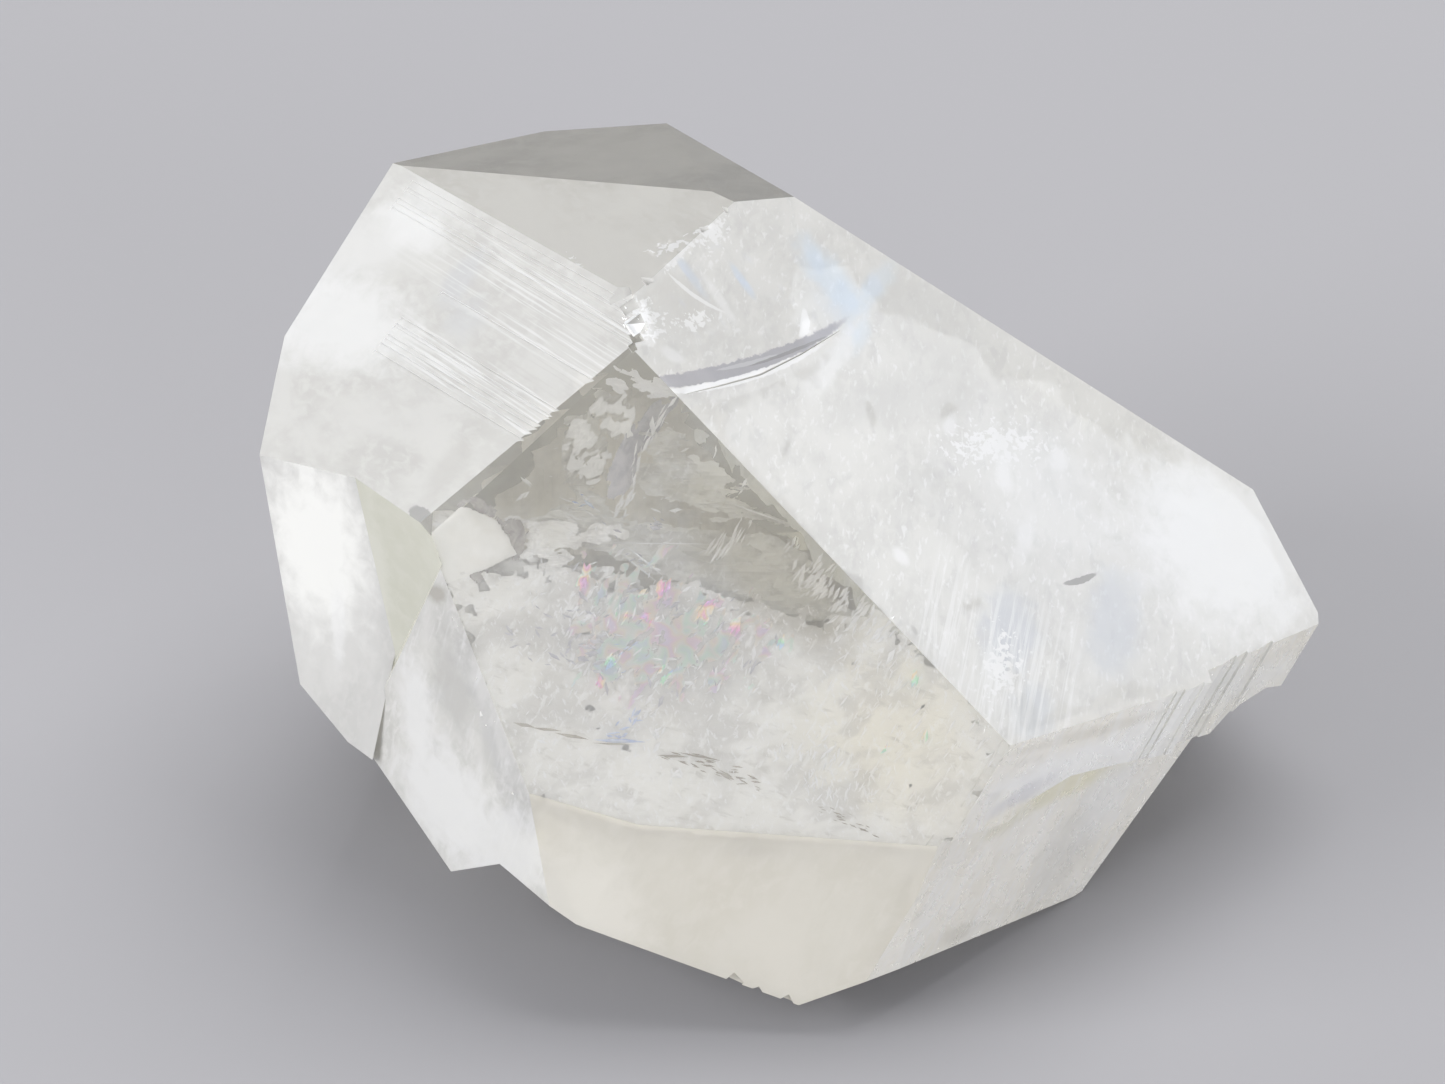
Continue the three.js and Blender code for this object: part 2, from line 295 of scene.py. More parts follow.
GROWTH = 6.9  # the growth lines' slope on the striated face, in degrees
# The grey-lilac of the crack band on the milky face: painted shade in the open crack.
CRACK_SHADE = (0.47, 0.47, 0.52, 1)
calcite(
    "clear", "front", grey(0.94, 0.03), grey(0.99, 0.01), 0.8, (0.02, 0.1),
    zones=[
        (grey(0.8, 0.08), (-8.5, 28), (9, 6.5), 40, 0.9),
        (grey(0.78, 0.12), (3, 20.5), (8, 3.6), -42, 0.9),
        (grey(0.98, 0.1), (12, 8), (4.5, 5.5), 30, 0.7),
    ],
)
calcite(
    "milky", "milky", grey(0.79, 0.02), grey(0.87, 0.02), 0.5, grain=5, turn=25, stretch=1.4,
    streaks=[
        (grey(0.7, 0), 28, 1.2, 1.8, 0.53, 0.7, 0.45),
        (SNOW, 30, 0.4, 2.2, 0.55, 0.7, 0.7),
    ],
    zones=[
        (SNOW, (30, -9), (7, 9), 60, 1),
        (grey(0.75, 0.01), (24, 15.5), (3.5, 5), 0, 0.5),
        (SNOW, (21, 2), (5, 5), 30, 0.4),
        (grey(0.74, 0.01), (19, 12.5), (6.5, 2), -25, 0.5),
        (grey(0.76, 0.01), (14, 15), (4, 1.2), -10, 0.35),
        ((0.68, 0.71, 0.77, 1), (9.5, -2), (3.4, 2.2), 25, 0.7),
        ((0.72, 0.75, 0.81, 1), (17, -6.5), (4.2, 2), 28, 0.6),
        ((0.72, 0.75, 0.8, 1), (6, -6.4), (2.4, 1.6), 25, 0.65),
        (SNOW, (23.7, 3.2), (1.1, 0.7), 30, 0.8),
        (SNOW, (19.2, 5.2), (1.5, 0.7), 40, 0.8),
        (SNOW, (16.4, 1.4), (2.2, 0.6), 20, 0.6),
        (SNOW, (18.8, 10), (1, 0.5), 20, 0.7),
        (SNOW, (7.4, 6.5), (0.5, 0.7), 0, 0.9),
        (SNOW, (15.5, 18.3), (4.5, 0.8), 8, 0.7),
        (SNOW, (6.8, 27.6), (1.6, 2.4), 20, 0.5),
        # Two pale blue streaks near the top: painted glints, over blue slivers placed at the same spots.
        ((0.72, 0.8, 0.92, 1), (11.4, 28.6), (0.4, 1.8), -12, 0.7),
        ((0.74, 0.82, 0.94, 1), (14.4, 26), (0.35, 1.3), -12, 0.7),
        (SNOW, (11.8, 26.2), (0.4, 2), -14, 0.6),
        (SNOW, (9, 30), (3, 0.5), 0, 0.6),
        (grey(0.72, 0.05), (8.2, 28.2), (3.6, 2.8), 20, 0.6),
        (SNOW, (11.6, 30.3), (1.4, 0.5), 0, 0.8),
        (SNOW, (5.4, 25.6), (0.5, 0.9), 20, 0.7),
        ((0.74, 0.84, 0.96, 1), (20.3, 22.3), (1.5, 3.4), -12, 0.6),
        ((0.78, 0.86, 0.95, 1), (22.8, 19.8), (3, 0.8), 5, 0.5),
        ((0.8, 0.88, 0.97, 1), (18.8, 18.2), (1.6, 0.6), 20, 0.5),
    ],
    lines=[(SNOW, 24, (-11, 0.5), (15, 7), 0.35, 0.55), (SNOW, 33, (-9, 0), (12, 6), 0.5, 0.45)],
    arcs=[
        # The first three arcs are painted shade in the open crack: a grey-lilac band with a lighter and a
        # darker line in it.
        (CRACK_SHADE, (8.5, 22.2), -22, 10.2, 0.56, 1.35, 0.85),
        (grey(0.7, -0.05), (9.6, 21.95), -22, 2.6, 0.14, 0.1, 0.7),
        (grey(0.3), (13, 20.6), -17, 3.6, 0.12, 0.1, 0.5),
        (SNOW, (8.5, 21.4), -21, 7.5, 0.3, 0.81, 1),
        (SNOW, (15.7, 21.2), 30, 1.2, 0.35, 0.2, 0.9),
        (SNOW, (10.4, 27.4), -75, 2.2, 0.16, 0.3, 0.9),
        (grey(0.42), (17.4, -3.1), -22, 1.5, 0.24, 0.12, 0.85),
    ],
    crumbs=[
        ((6, 28.4), (2, 2.2), 20), ((12.5, 30), (3, 0.6), 0), ((15.4, 29.6), (2.4, 1.2), 0),
        ((8.6, 26.4), (2.4, 0.9), -20), ((20.5, 7), (5.5, 2.2), -30), ((7, -3), (3.5, 2), 25),
    ],
)
calcite(
    "striated", "striated", grey(0.73, 0.03), grey(0.83, 0.02), 0.5,
    grain=5, turn=GROWTH, stretch=1.3,
    zones=[
        (SNOW, (-30, 7.5), (7, 3.6), 20, 0.85),
        (SNOW, (-31, 15.4), (3.4, 1.4), 5, 0.8),
        (SNOW, (-33, 13), (3, 9), -20, 0.5),
        ((0.72, 0.74, 0.78, 1), (-24.4, 15), (1.2, 2.4), 10, 0.5),
        ((0.74, 0.76, 0.8, 1), (-21.6, 13.4), (1.5, 1.8), 0, 0.4),
        (grey(0.68, 0.04), (-13.4, 5.6), (1.1, 2.6), 10, 0.5),
    ],
    lines=[
        (SNOW, GROWTH, (16.4, 21.4), (-34, -15), 0.34, 0.8),
        (SNOW, GROWTH, (11.3, 14.4), (-27.5, -19), 0.26, 0.9),
        (SNOW, GROWTH, (15.8, 16), (-26, -20), 3, 0.8),
        (grey(0.7, 0.05), GROWTH, (11.3, 21.4), (-24, -11), 0.2, 0.3),
    ],
    # The dark arc near the lower right is painted shade in a notch.
    arcs=[(grey(0.45, 0), (-12.2, 2.3), 8, 1.2, 0.55, 0, 0.85)],
)
calcite(
    "cap", "top", grey(0.71, 0.06), grey(0.79, 0.05), 0.6, stretch=1.6, turn=60,
    lines=[(grey(0.86, 0.02), 64.3, (-3, 0.3), (-32, -8), 0.5, 0.4)],
    crumbs=[
        ((-8.2, -12.6), (1.8, 0.9), 62),
        ((-12.8, -7.8), (1.8, 0.9), 140),
        ((-15.6, -6.8), (1.6, 0.6), 150),
    ],
)
# The shoulders' dark grey is painted reflection: the dim surroundings they mirror when seen at a grazing
# angle.
calcite(
    "shoulder", None, grey(0.35, 0.08), grey(0.44, 0.08), 0.6, turn=20, stretch=2,
    zones=[(grey(0.48, 0.08), (10, 16), (10, 12), 0, 0.8)],
)
calcite(
    "foot", "foot", grey(0.81, 0.13), grey(0.86, 0.11), 0.45, (0.1, 0.2), turn=60, stretch=1.5,
    zones=[(grey(0.95, 0.09), (-8.5, 1.5), (4, 5), 30, 0.8)],
)
calcite(
    "flank", "flank", grey(0.7, 0.03), grey(0.86, 0.02), 0.42, grain=4, turn=70, stretch=1.8,
    streaks=[(SNOW, 80, 0.5, 5, 0.52, 0.7, 0.5)],
    zones=[
        (grey(0.6, 0.02), (-9, 14.8), (2.2, 3.4), 20, 0.65),
        (grey(0.62, 0.01), (-5.2, 12.2), (0.9, 2), 20, 0.5),
        (SNOW, (-12.5, 11), (1.8, 4), 10, 0.9),
        (SNOW, (-3, 6), (5, 3.5), 20, 0.8),
        (SNOW, (-9, 6), (5, 4.5), 10, 1),
        (grey(0.5, 0.14), (-11.6, 20.5), (1.2, 0.7), 30, 0.75),
    ],
)
calcite(
    "wing", "wing", grey(0.65, 0.02), grey(0.71, 0.02), 0.3, grain=4, turn=80, stretch=3,
    zones=[
        ((1, 1, 0.98, 1), (-24.5, 15), (5.5, 9), 10, 0.2),
        ((1, 1, 0.98, 1), (-25, 17.5), (4.5, 6), 10, 1),
        (SNOW, (-22.5, 12.5), (0.7, 3), 8, 0.35),
    ],
)
calcite(
    "pocket", "pocket", (0.78, 0.78, 0.68, 1), (0.84, 0.84, 0.75, 1), 0.45,
    zones=[((0.92, 0.92, 0.84, 1), (-17.5, 18), (1.6, 5), 15, 0.7)],
)
calcite(
    "break", "break_lower", grey(0.94, 0.1), grey(0.99, 0.06), 0.4, (0.2, 0.3), 4, 35, 2.2,
    streaks=[
        (SNOW, 42, 0.35, 5, 0.52, 0.68, 0.7),
        (grey(0.76, 0.08), 36, 0.6, 3, 0.56, 0.72, 0.55),
    ],
    zones=[
        # The yellowish band and the darker olive strip just under the overhang are painted shade under
        # it.
        ((0.9, 0.87, 0.7, 1), (14, 9.6), (7, 1), -12, 0.8),
        ((0.82, 0.8, 0.68, 1), (9, 9.6), (3.5, 0.6), 0, 0.6),
        (grey(0.78, 0.04), (14.5, 4), (5, 2.6), 40, 0.6),
        (SNOW, (20, 9.6), (6, 1), -14, 0.7),
        (SNOW, (14, 12), (8, 1.5), -10, 0.9),
        (SNOW, (26, 11), (8, 2), -15, 0.7),
        (grey(0.74, 0.1), (4.5, 2.4), (2, 0.8), -12, 0.6),
        (SNOW, (18, 6.5), (2.4, 3.6), -35, 0.6),
        ((0.7, 0.7, 0.76, 1), (9, 12.2), (3.2, 0.6), 2, 0.6),
        (grey(0.74, 0.1), (15, 14), (8, 0.42), -15, 0.5),
    ],
    lines=[(SNOW, 62, (-20, 14), (-4, 4), 1.2, 0.35)],
)
# The walls of the growth lines are painted opaque white, a painted highlight that keeps them bright where
# they would lie in shade.
calcite("step", None, SNOW, SNOW, 0.1)
calcite("back", None, grey(0.84, 0.03), grey(0.95, 0.03), 0.5)

# A face has the finish called by the first word of its own name, apart from these.
FINISH_OF = {"front": "clear", "bevel": "clear", "top": "cap", "sill": "pocket"}
PLANES = {name: face_axes(name) for name in FACES}
CLOSE = 1.2  # how far off a face's plane a polygon of it may be, in mm with its tilt counted in
TILT_COUNTS = 6
STEP_HEIGHT = 0.8  # how near to the striated face the walls of the growth lines stay, in mm


def finish_for(polygon):
    """The name of a polygon's finish, by the face whose plane it lies nearest to."""
    centre = polygon.center / MM - SHIFT
    best, lowest = "back", CLOSE
    for name, (out, right, up, reach) in PLANES.items():
        off = abs(centre.dot(out) - reach) + TILT_COUNTS * (1 - polygon.normal.dot(out))
        if off < lowest:
            best, lowest = FINISH_OF.get(name, name.split("_")[0]), off
    out, right, up, reach = PLANES["striated"]
    if best == "back" and abs(centre.dot(out) - reach) < STEP_HEIGHT:
        return "step"
    return best


slots = list(FINISHES)
for key in slots:
    mesh.materials.append(FINISHES[key])
for polygon in mesh.polygons:
    polygon.use_smooth = False
    polygon.material_index = slots.index(finish_for(polygon))
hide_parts("calcite_crystal")
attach(crystal, "root")

SKIN = BVHTree.FromPolygons(
    [v.co for v in mesh.vertices], [list(p.vertices) for p in mesh.polygons], all_triangles=False
)


# ---- What lies inside: veils, cracks and cleavage slivers ----


def cover_over(point):
    """How far in mm a point lies under the crystal's surface, negative outside."""
    near, normal, _, distance = SKIN.find_nearest(point)
    side = 1 if (point - near).dot(normal) < 0 else -1
    return distance / MM * side


def inside(outline, u, v):
    """Distance in mm from a point to an outline, positive inside it."""
    best, odd = 1e9, False
    for i, (ax, ay) in enumerate(outline):
        bx, by = outline[i - 1]
        dx, dy = bx - ax, by - ay
        t = max(0, min(1, ((u - ax) * dx + (v - ay) * dy) / (dx * dx + dy * dy)))
        best = min(best, math.hypot(u - ax - t * dx, v - ay - t * dy))
        if (ay > v) != (by > v) and u < ax + (v - ay) * dx / dy:
            odd = not odd
    return best if odd else -best


def wisp(u, v, grain, seed, turn=0, stretch=1, octaves=5):
    """Noise about 0 on a face, in grains of that many mm, stretched along a direction and bent."""
    way = math.radians(turn)
    along = (u * math.cos(way) + v * math.sin(way)) / (grain * stretch)
    across = (v * math.cos(way) - u * math.sin(way)) / grain
    bend = 0.6 * field.noise(Vector((along * 0.7, across * 0.7, seed + 9.5)))
    falloff, step = 0.8, 2.1  # from one octave to the next
    return field.fractal(Vector((along + bend, across - bend, seed)), falloff, step, octaves)


def make_piece(name, shape, material):
    """A piece of the crystal's inside with the mesh of a shape."""
    data = bpy.data.meshes.new(name)
    shape.to_mesh(data)
    shape.free()
    data.materials.append(material)
    piece = bpy.data.objects.new(name, data)
    scene.collection.objects.link(piece)
    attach(piece, "root")
    return piece


# In mm: how near to its face a veil may rise, how little crystal may cover it, and its thickness.
LEAST_DEPTH = 0.12
LEAST_COVER = 0.1
THICKNESS = 0.02


def veil(
    name, face, outlines, material, depth, relief, cell, cover, ragged, grain, seed,
    turn=0, stretch=1, lean=(0, 0),
):
    """A thin healed fracture under a face: a ragged sheet with holes, cut along a noise contour.

    Depth, relief (how much it waves) and cell (the spacing of its points) are in mm. Cover says how
    few holes it has and ragged how far in from the outlines its edge wanders. The noise has a grain
    in mm, stretched along turn. Lean is the depth gained per mm to the right and up.
    """
    corners = [p for outline in outlines for p in outline]
    low = [min(p[k] for p in corners) - cell for k in (0, 1)]
    high = [max(p[k] for p in corners) + cell for k in (0, 1)]
    cols, rows = (int((high[k] - low[k]) / cell) + 1 for k in (0, 1))
    middle = [sum(p[k] for p in corners) / len(corners) for k in (0, 1)]

    def sheet_point(u, v):
        rise = relief * wisp(u, v, grain * 1.3, seed + 20, turn, stretch, 3)
        deep = depth + rise + lean[0] * (u - middle[0]) + lean[1] * (v - middle[1])
        return spot(face, u, v, max(LEAST_DEPTH, deep))

    # Each point gets a value: above 0 within the veil, 0 at its edge.
    grid = {}
    for j in range(rows + 1):
        for i in range(cols + 1):
            u, v = low[0] + i * cell, low[1] + j * cell
            edge = max(-1, min(1, max(inside(outline, u, v) for outline in outlines) / ragged))
            value = -1.0
            if edge > -1:
                value = edge + 1.6 * wisp(u, v, grain, seed, turn, stretch) + cover - 0.5
            if value > 0:
                value = min(value, 4 * (cover_over(sheet_point(u, v)) - LEAST_COVER))
            grid[i, j] = (u, v, value)
    shape = bmesh.new()
    made = {}

    def corner(u, v):
        key = (round(u, 4), round(v, 4))
        if key not in made:
            made[key] = shape.verts.new(sheet_point(u, v))
        return made[key]

    for j in range(rows):
        for i in range(cols):
            a, b, c, d = grid[i, j], grid[i + 1, j], grid[i + 1, j + 1], grid[i, j + 1]
            for triangle in ((a, b, c), (a, c, d)):
                kept = []
                for k in range(3):
                    p, q = triangle[k], triangle[(k + 1) % 3]
                    if p[2] > 0:
                        kept.append(corner(p[0], p[1]))
                    if (p[2] > 0) != (q[2] > 0):
                        t = p[2] / (p[2] - q[2])
                        kept.append(corner(p[0] + t * (q[0] - p[0]), p[1] + t * (q[1] - p[1])))
                distinct = list(dict.fromkeys(kept))
                if len(distinct) >= 3 and not shape.faces.get(distinct):
                    shape.faces.new(distinct)
    piece = make_piece(name, shape, material)
    thick = piece.modifiers.new("thickness", "SOLIDIFY")
    thick.thickness = THICKNESS * MM


def slivers(name, items, material):
    """Small flat cleavage slivers in one piece: (face, u, v, depth, length, width, turn, tilt) each.

    Each is a kite whose side corners sit off its middle, with a low tip above and below.
    """
    shape = bmesh.new()
    for face, u, v, depth, length, width, turn, tilt in items:
        out, right, up, reach = face_axes(face)
        way = math.radians(turn)
        along = right * math.cos(way) + up * math.sin(way)
        across = out.cross(along) * math.cos(tilt) + out * math.sin(tilt)
        normal = along.cross(across)
        at = spot(face, u, v, depth)
        ends = [
            along * length / 2,
            across * width / 2 + along * length * 0.12,
            -along * length / 2,
            -across * width / 2 - along * length * 0.09,
        ]
        ring = [shape.verts.new(at + e * MM) for e in ends]
        thickness = min(width * 0.24, 0.1)
        tips = [shape.verts.new(at + normal * side * thickness / 2 * MM) for side in (1, -1)]
        for k in range(4):
            shape.faces.new((ring[k], ring[(k + 1) % 4], tips[0]))
            shape.faces.new((ring[(k + 1) % 4], ring[k], tips[1]))
    make_piece(name, shape, material)


SHALLOW = (0.11, 0.17)  # between a face and the nearest haze, in mm


def sliver(rng, face, u, v, depth, length, slim, turn, spread, tilt):
    """One sliver of random size and lie as a list, or none where it would break the surface.

    Depth, length and slim (width over length) are ranges. Turn and spread are in degrees.
    """
    size = rng.uniform(*length) * rng.uniform(0.5, 1)
    deep = rng.uniform(*depth)
    width = size * rng.uniform(*slim)
    turned = turn + rng.gauss(0, spread)
    item = (face, u, v, deep, size, width, turned, rng.uniform(-tilt, tilt))
    return [item] if cover_over(spot(face, u, v, deep)) > min(0.8 * deep, size / 2) else []


def scatter(
    face, outline, count, seed, length, slim, turn, spread, depth=SHALLOW, grain=4, bias=0,
):
    """Slivers strewn in an outline, denser where the noise is high."""
    tilt, tries, margin = 0.6, 40, 0.2
    rng = random.Random(seed)
    us = [p[0] for p in outline]
    vs = [p[1] for p in outline]
    items = []
    for _ in range(count * tries):
        if len(items) == count:
            break
        u = rng.uniform(min(us), max(us))
        v = rng.uniform(min(vs), max(vs))
        if inside(outline, u, v) <= margin:
            continue
        if wisp(u, v, grain, seed * 1.7) + bias > rng.uniform(-0.4, 0.5):
            items += sliver(rng, face, u, v, depth, length, slim, turn, spread, tilt)
    return items


def cluster(face, spots, seed, length, slim, turn, spread=40, depth=SHALLOW):
    """Slivers gathered round spots: (u, v, radius, count) each."""
    tilt = 0.8
    rng = random.Random(seed)
    items = []
    for u, v, radius, count in spots:
        for _ in range(count):
            at = (u + rng.gauss(0, radius / 2), v + rng.gauss(0, radius / 2))
            items += sliver(rng, face, *at, depth, length, slim, turn, spread, tilt)
    return items


def comb(face, start, end, count, seed, length, slim, turn, spread, depth=SHALLOW, jitter=0.2):
    """Slivers side by side along a line, off it by a jitter in mm."""
    tilt = 0.3
    rng = random.Random(seed)
    items = []
    for i in range(count):
        t = (i + rng.uniform(0.2, 0.8)) / count
        at = [start[k] + t * (end[k] - start[k]) + rng.gauss(0, jitter) for k in (0, 1)]
        items += sliver(rng, face, *at, depth, length, slim, turn, spread, tilt)
    return items


def strokes(face, *marks):
    """Long slivers: (start, end, width, depth) each."""
    tilt = 0.2
    items = []
    for start, end, width, depth in marks:
        du, dv = end[0] - start[0], end[1] - start[1]
        middle = ((start[0] + end[0]) / 2, (start[1] + end[1]) / 2)
        turn = math.degrees(math.atan2(dv, du))
        items.append((face, *middle, depth, math.hypot(du, dv), width, turn, tilt))
    return items


def mineral(name, tint, other, gloss=0.5, grain=4, clear=0, face=None, zones=(), streaks=()):
    """A film or filling on a fracture, in two tones. A clear one lets light straight through."""
    paint = Paint(name, face)
    colour = paint.zoned(paint.mix(paint.clouds(grain, detail=4), tint, other), zones)
    colour = paint.streaked(colour, streaks)
    return paint.finish(colour, gloss, 1 if clear else 1.5, clear)


def spectrum(name, pale, clear=0):
    """Interference colours on a thin gap, which change within a millimetre."""
    paint = Paint(name)
    ramp = paint.node("ShaderNodeValToRGB", {"Fac": paint.ramp(paint.noise(1.1, detail=1), 0.25, 0.75)})
    stops = ramp.color_ramp.elements
    hues = (
        (0.8, 0.55, 1), (1, 0.45, 0.72), (1, 0.8, 0.45),
        (0.98, 0.97, 0.9), (0.5, 0.95, 0.6), (0.5, 0.68, 1),
    )
    for i, hue in enumerate(hues):
        last = len(hues) - 1
        stop = stops[-1] if i == last else stops[0] if i == 0 else stops.new(i / last)
        stop.color = (*(c + pale * (0.97 - c) for c in hue), 1)
    return paint.finish(ramp.outputs["Color"], 0.3, 1 if clear else 1.5, clear)


# Darker and whiter flakes in the haze under the front face
FLAWS = [
    (grey(0.7, 0.07), 25, 2.6, 1.5, 0.46, 0.62, 0.7),
    (grey(0.62, 0.1), -18, 0.6, 2.4, 0.55, 0.72, 0.6),
    ((1, 1, 0.98, 1), 62, 0.5, 2.2, 0.54, 0.7, 0.85),
    (grey(1), 115, 0.3, 1.8, 0.57, 0.69, 0.85),
]
CREAMY = (1, 0.99, 0.96, 1)
DULLER = (0.94, 0.935, 0.9, 1)
CREAM = mineral("veil_cream", (1, 0.99, 0.95, 1), (0.93, 0.925, 0.88, 1))
FLAWED = mineral("veil_flawed", CREAMY, (0.93, 0.925, 0.885, 1), face="front", streaks=FLAWS)
BREAK_CREAM = mineral(
    "veil_break", (1, 0.99, 0.95, 1), (0.94, 0.93, 0.88, 1), face="break_lower",
    streaks=[
        (grey(0.78, 0.08), 40, 0.8, 3, 0.52, 0.7, 0.6),
        (grey(1), 45, 0.35, 5, 0.52, 0.66, 0.9),
    ],
)
PALE = mineral("veil_pale", (0.98, 0.98, 0.96, 1), (0.88, 0.88, 0.86, 1))
WHITE = mineral("veil_white", grey(1), (0.97, 0.975, 0.98, 1))
BLOOM = mineral(
    "veil_bloom", (0.96, 0.95, 0.91, 1), (0.89, 0.88, 0.84, 1), face="front", streaks=FLAWS,
    zones=[
        (grey(0.56, 0.04), (-4, 15.2), (7, 4), -15, 0.8),
        (grey(0.58, 0.1), (3, 18.4), (8.5, 2.3), -38, 0.9),
        (grey(0.68, 0.05), (-11.5, 14.8), (3.6, 1), -10, 0.6),
        (grey(0.7, 0.04), (-7.5, 9.6), (3.6, 0.9), -8, 0.5),
        (grey(0.74, 0.05), (0, 9.6), (3.4, 1), -12, 0.5),
        ((0.96, 0.935, 0.84, 1), (10, 10.5), (6.5, 5), 40, 0.6),
    ],
)
HAZE = mineral("veil_haze", CREAMY, DULLER, clear=0.4, face="front", streaks=FLAWS)
MIST = mineral("veil_mist", (0.99, 0.985, 0.95, 1), DULLER, clear=0.6, face="front", streaks=FLAWS)
MILK = mineral("veil_milk", grey(1), (0.95, 0.96, 0.97, 1), clear=0.5)
SKY = mineral("veil_sky", (0.7, 0.83, 1, 1), (0.85, 0.92, 1, 1), clear=0.7)
STRAW = mineral("veil_straw", (0.98, 0.95, 0.78, 1), (0.98, 0.96, 0.88, 1), clear=0.6)
SMOKE = mineral("veil_smoke", (0.77, 0.74, 0.69, 1), (0.94, 0.91, 0.86, 1))
ASH = mineral("crack_ash", (0.52, 0.51, 0.56, 1), (0.68, 0.67, 0.7, 1), 0.35, 1)
BROWN = mineral("gap_brown", (0.3, 0.27, 0.25, 1), (0.5, 0.47, 0.44, 1), 0.35, 0.8)
UMBER = mineral("dash_umber", (0.3, 0.26, 0.19, 1), (0.48, 0.44, 0.36, 1))
AZURE = mineral("glint_azure", (0.46, 0.54, 0.82, 1), (0.78, 0.84, 0.96, 1), 0.25, 0.8)
IRIS = spectrum("glint_iris", 0.15)
IRIS_FILM = spectrum("film_iris", 0.7, 0.5)

# Under the clear front face: the cream haze of its lower half
LOW_CLOUD = [
    (-17.9, 22.2), (-14, 21.6), (-12.8, 19.5), (-10, 18.4), (-5, 17.5), (-1.4, 17.5), (2.4, 15.4),
    (6.8, 14.6), (9.5, 15), (11.5, 13.6), (18, 8.6), (15, 1.6), (-4.9, 2), (-12.6, 3.4), (-17.2, 19.4),
]
RIM = [
    (-17, 18), (-14.8, 18.4), (-12.8, 18.9), (-10, 19), (-5, 18.2), (-1.4, 18), (2.4, 16.6), (6.8, 16),
    (9.8, 16.4), (12.3, 14.6), (18.6, 9.2), (15, 1.6), (-4.9, 2), (-12.6, 3.4),
]
veil(
    "cloud_rim", "front", [RIM], BLOOM, depth=0.2, relief=0.04, cell=0.2, cover=0.75, ragged=1.2,
    grain=0.8, seed=23.3, turn=-12, stretch=2,
)
veil(
    "cloud_near", "front", [LOW_CLOUD], HAZE, depth=0.55, relief=0.2, cell=0.3, cover=0.45, ragged=1.6,
    grain=1.3, seed=13.3, turn=-14, stretch=2,
)
veil(
    "cloud_low", "front", [LOW_CLOUD], FLAWED, depth=1.3, relief=0.5, cell=0.3, cover=0.8, ragged=1.6,
    grain=2.4, seed=3.3, turn=-12, stretch=1.5,
)
veil(
    "cloud_below", "front", [LOW_CLOUD], PALE, depth=4.2, relief=1, cell=0.4, cover=0.55, ragged=1.2,
    grain=4, seed=8.1, turn=20, stretch=1.3,
)
DEEP = [(-17, 21), (-6, 31.5), (-4, 31), (10, 16.5), (17, 9), (13, 4), (-4, 4.5), (-11, 6)]
veil(
    "deep_smoke", "front", [DEEP], SMOKE, depth=7.5, relief=1.6, cell=0.5, cover=0.5, ragged=1.5, grain=5,
    seed=17, turn=-30, stretch=1.5,
)
YELLOWISH = [(8.5, 14), (12, 14.5), (15.5, 10), (14.5, 5), (10, 4.5), (8, 8)]
veil(
    "straw_haze", "front", [YELLOWISH], STRAW, depth=1.1, relief=0.3, cell=0.3, cover=0.3, ragged=2,
    grain=1.6, seed=21.5, turn=40, stretch=1.6,
)

# Streaks beside the feather, and a belt of haze from the window to the milky face
HAZE_SHEET = [
    (-5, 27.6), (-3.2, 28), (-1.1, 26), (2.1, 23.7), (4, 22.2), (1.9, 22.4), (-2.7, 23.2), (-5.4, 23.6),
]
veil(
    "haze_streaks", "front", [HAZE_SHEET], MIST, depth=0.6, relief=0.2, cell=0.14, cover=0.05, ragged=0.8,
    grain=0.55, seed=5.7, turn=-9, stretch=4.5,
)
veil(
    "haze_upper", "front", [HAZE_SHEET], CREAM, depth=1.6, relief=0.4, cell=0.25, cover=0, ragged=1.2,
    grain=1.6, seed=2.7, turn=-9, stretch=3,
)
BELT = [
    (-13, 22), (-9, 24.4), (-6.5, 23), (-3, 22.4), (3, 21.5), (7, 18.2), (9.5, 16), (2, 15.6), (-2, 18),
    (-8, 20),
]
veil(
    "haze_belt", "front", [BELT], MIST, depth=0.8, relief=0.3, cell=0.2, cover=0.15, ragged=0.8,
    grain=0.9, seed=9.2, turn=-8, stretch=3,
)
veil(
    "haze_belt_deep", "front", [BELT], CREAM, depth=2.6, relief=0.6, cell=0.3, cover=0.1, ragged=1,
    grain=1.7, seed=31, turn=-20, stretch=2.2,
)

# Cream islands in the clear triangle, and the flakes at its tip
ISLANDS = [
    [(-7.9, 30.4), (-7.4, 29.9), (-6.5, 30), (-6.6, 29.2), (-7, 28.8), (-7.8, 28.8), (-8.3, 29.3)],
    [(-6.5, 29.3), (-5.7, 29.2), (-5.8, 28.8), (-6.4, 28.7)],
    [(-7.4, 28.5), (-5.9, 28.4), (-6, 28), (-6.8, 27.8), (-7.7, 28.1)],
    [
        (-9.9, 28.3), (-8.2, 28.5), (-7.7, 27.3), (-8.1, 26.5), (-8.6, 25.6), (-9.2, 25.1), (-10.1, 24.7),
        (-9.7, 26.2),
    ],
    [(-8.6, 26.5), (-7.4, 26.3), (-7.4, 25.4), (-8.2, 24.8), (-9.2, 24.6)],
]
veil(
    "islands", "front", ISLANDS, MIST, depth=0.7, relief=0.15, cell=0.1, cover=0.95, ragged=0.5,
    grain=0.7, seed=12.4, turn=50, stretch=1.6,
)
veil(
    "island_cores", "front", ISLANDS, PALE, depth=0.2, relief=0.04, cell=0.1, cover=0.45, ragged=0.5,
    grain=0.6, seed=12.4, turn=50, stretch=1.6,
)
